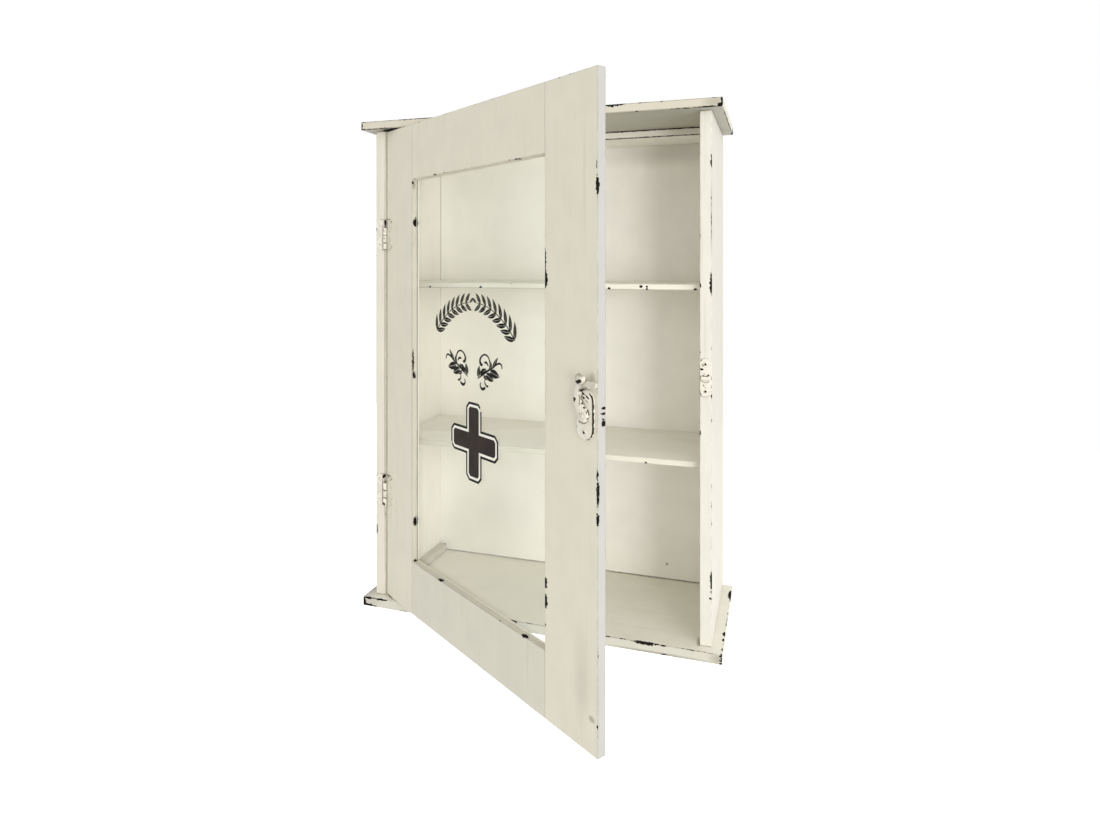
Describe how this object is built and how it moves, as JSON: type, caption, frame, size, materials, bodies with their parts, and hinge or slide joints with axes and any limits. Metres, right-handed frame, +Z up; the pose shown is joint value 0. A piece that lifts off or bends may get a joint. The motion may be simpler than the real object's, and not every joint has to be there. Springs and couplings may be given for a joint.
{
  "type": "wall medicine cabinet",
  "caption": "Shallow wall-hung cupboard with a glazed door on butterfly hinges, a turn latch with a keeper, and shelves behind the glass.",
  "frame": {"origin": "middle of the base board's back edge, on the plane of the wall", "axes": "+X to the right seen from the front, +Y into the wall, +Z up; the front faces -Y"},
  "size_m": [0.437, 0.3761, 0.6],
  "materials": {
    "painted_wood": "cream paint, matt, rubbed through to black-brown on edges",
    "painted_metal": "cream paint over metal, chipped",
    "dark_steel": "darkened steel",
    "window_glass": "clear window glass with a printed ornament"
  },
  "bodies": {
    "case": {"top_board": "painted_wood", "base_board": "painted_wood", "left_side_panel": "painted_wood", "right_side_panel": "painted_wood", "back_panel": "painted_wood", "lower_shelf": "painted_wood", "upper_shelf": "painted_wood", "hanging_rail": "painted_wood", "left_base_cleat": "painted_wood", "top_left_front_dowel": "painted_wood", "top_left_rear_dowel": "painted_wood", "top_right_front_dowel": "painted_wood", "top_right_rear_dowel": "painted_wood", "base_left_front_dowel": "painted_wood", "base_left_rear_dowel": "painted_wood", "base_right_front_dowel": "painted_wood", "base_right_rear_dowel": "painted_wood", "left_hanger_plate": "dark_steel", "right_hanger_plate": "dark_steel", "lower_left_hanger_screw": "dark_steel", "lower_right_hanger_screw": "dark_steel", "upper_left_hanger_screw": "dark_steel", "upper_right_hanger_screw": "dark_steel", "keeper_plate": "painted_metal", "lower_keeper_screw": "painted_metal", "upper_keeper_screw": "painted_metal", "upper_hinge_case_leaf": "painted_metal", "lower_hinge_case_leaf": "painted_metal", "upper_hinge_case_screw_low": "painted_metal", "upper_hinge_case_screw_high": "painted_metal", "lower_hinge_case_screw_low": "painted_metal", "lower_hinge_case_screw_high": "painted_metal", "upper_hinge_pin": "dark_steel", "lower_hinge_pin": "dark_steel"},
    "door": {"door_hinge_stile": "painted_wood", "door_latch_stile": "painted_wood", "door_top_rail": "painted_wood", "door_bottom_rail": "painted_wood", "top_bead": "painted_wood", "bottom_bead": "painted_wood", "left_bead": "painted_wood", "right_bead": "painted_wood", "door_glass": "window_glass", "upper_hinge_door_leaf": "painted_metal", "lower_hinge_door_leaf": "painted_metal", "upper_hinge_door_screw_low": "painted_metal", "upper_hinge_door_screw_high": "painted_metal", "lower_hinge_door_screw_low": "painted_metal", "lower_hinge_door_screw_high": "painted_metal", "latch_plate": "painted_metal", "latch_rivet": "painted_metal", "lower_latch_screw": "painted_metal", "upper_latch_screw": "painted_metal"},
    "latch_lever": {"latch_lever": "painted_metal"}
  },
  "joints": [
    {"name": "door_hinge", "type": "hinge", "parent": "case", "child": "door", "pos_m": [-0.192, -0.16262, 0.2965], "axis": [0, 0, -1], "range_deg": [-32.9, 137.1]},
    {"name": "latch_turn", "type": "hinge", "parent": "door", "child": "latch_lever", "pos_m": [0.12109, -0.36205, 0.2909], "axis": [0.5432, 0.8396, 0], "range_deg": [0, 46]}
  ]
}
